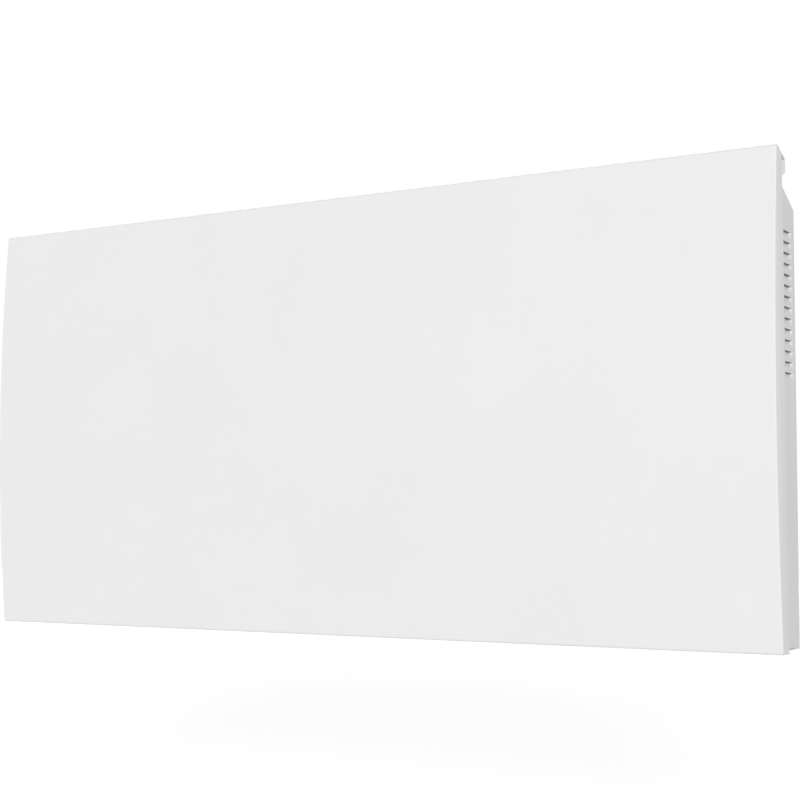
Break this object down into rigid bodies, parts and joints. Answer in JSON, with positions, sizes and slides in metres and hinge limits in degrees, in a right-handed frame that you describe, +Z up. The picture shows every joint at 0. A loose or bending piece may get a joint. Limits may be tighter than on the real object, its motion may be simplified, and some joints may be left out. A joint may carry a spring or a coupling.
{
  "type": "wall panel convector heater",
  "caption": "Slim white wall heater with a vertically bowed front panel, a louvred rear body with air grilles, a control strip in its top return and a lift-off wall bracket.",
  "frame": {"origin": "centre of the wall screw pattern, on the wall's surface", "axes": "+X to the right as seen from the room, +Y into the wall, +Z up"},
  "size_m": [0.768, 0.0803, 0.3717],
  "materials": {
    "panel_paint": "satin white powder coat",
    "body_paint": "satin white powder coat",
    "galvanised": "galvanised sheet",
    "bright_steel": "zinc plated",
    "stainless": "heat-resistant steel",
    "aluminium": "extruded, plain",
    "ceramic": "unglazed ceramic",
    "white_plastic": "fine texture",
    "grey_plastic": "fine texture",
    "black_plastic": "fine texture",
    "lens": "smoked window",
    "circuit_board": "solder mask",
    "components": "moulded",
    "brass": "plain",
    "wire_sleeve": "silicone sleeve"
  },
  "bodies": {
    "wall_bracket": {"bracket_upright_left": "galvanised", "bracket_upright_right": "galvanised", "bracket_rail_upper": "galvanised", "bracket_rail_lower": "galvanised", "bracket_rivets": "bright_steel"},
    "heater": {"front_panel": "panel_paint", "panel_hanger_left": "galvanised", "panel_hanger_right": "galvanised", "panel_foot_left": "galvanised", "panel_foot_right": "galvanised", "panel_screws": "bright_steel", "side_plate_left": "body_paint", "side_plate_right": "body_paint", "back_plate": "body_paint", "base_grille": "body_paint", "outlet_grille": "body_paint", "hanging_strip": "body_paint", "body_rivets": "bright_steel", "shoulder_studs": "bright_steel", "element_sheath": "stainless", "element_terminals": "bright_steel", "element_fins": "aluminium", "element_bushes": "ceramic", "element_bracket_left": "galvanised", "element_bracket_right": "galvanised", "element_rivets": "bright_steel", "heat_shield": "aluminium", "cutout_bracket": "galvanised", "thermal_cutout": "black_plastic", "terminal_block": "white_plastic", "terminal_screws": "bright_steel", "earth_stud": "bright_steel", "earth_lug": "brass", "earth_nut": "brass", "cord_gland": "white_plastic", "gland_nut": "white_plastic", "sensor_holder": "white_plastic", "temperature_sensor": "black_plastic", "power_housing": "grey_plastic", "power_cover": "grey_plastic", "power_screws": "bright_steel", "power_board": "circuit_board", "power_components": "components", "control_bezel": "white_plastic", "control_housing": "grey_plastic", "control_board": "circuit_board", "control_screws": "bright_steel", "display_module": "components", "display_lens": "lens", "key_switches": "black_plastic", "bezel_clips": "bright_steel", "rocker_body": "black_plastic", "mains_wires": "wire_sleeve", "element_wires": "wire_sleeve", "signal_cables": "wire_sleeve", "wire_clips": "black_plastic"},
    "button_minus": {"button_minus": "white_plastic"},
    "button_plus": {"button_plus": "white_plastic"},
    "button_mode": {"button_mode": "white_plastic"},
    "power_rocker": {"power_rocker": "white_plastic"}
  },
  "joints": [
    {"name": "heater_lift", "type": "slide", "parent": "wall_bracket", "child": "heater", "axis": [0, 0, 1], "range_m": [0, 0.011]},
    {"name": "button_minus_press", "type": "slide", "parent": "heater", "child": "button_minus", "axis": [0, -0.4478, -0.8942], "range_m": [0, 0.0006], "stiffness_N_per_m": 1500, "springref_m": -0.0005},
    {"name": "button_plus_press", "type": "slide", "parent": "heater", "child": "button_plus", "axis": [0, -0.4478, -0.8942], "range_m": [0, 0.0006], "stiffness_N_per_m": 1500, "springref_m": -0.0005},
    {"name": "button_mode_press", "type": "slide", "parent": "heater", "child": "button_mode", "axis": [0, -0.4478, -0.8942], "range_m": [0, 0.0006], "stiffness_N_per_m": 1500, "springref_m": -0.0005},
    {"name": "rocker_tilt", "type": "hinge", "parent": "heater", "child": "power_rocker", "pos_m": [0.343, -0.06134, 0.191], "axis": [0, -0.8942, 0.4478], "range_deg": [0, 20]}
  ]
}
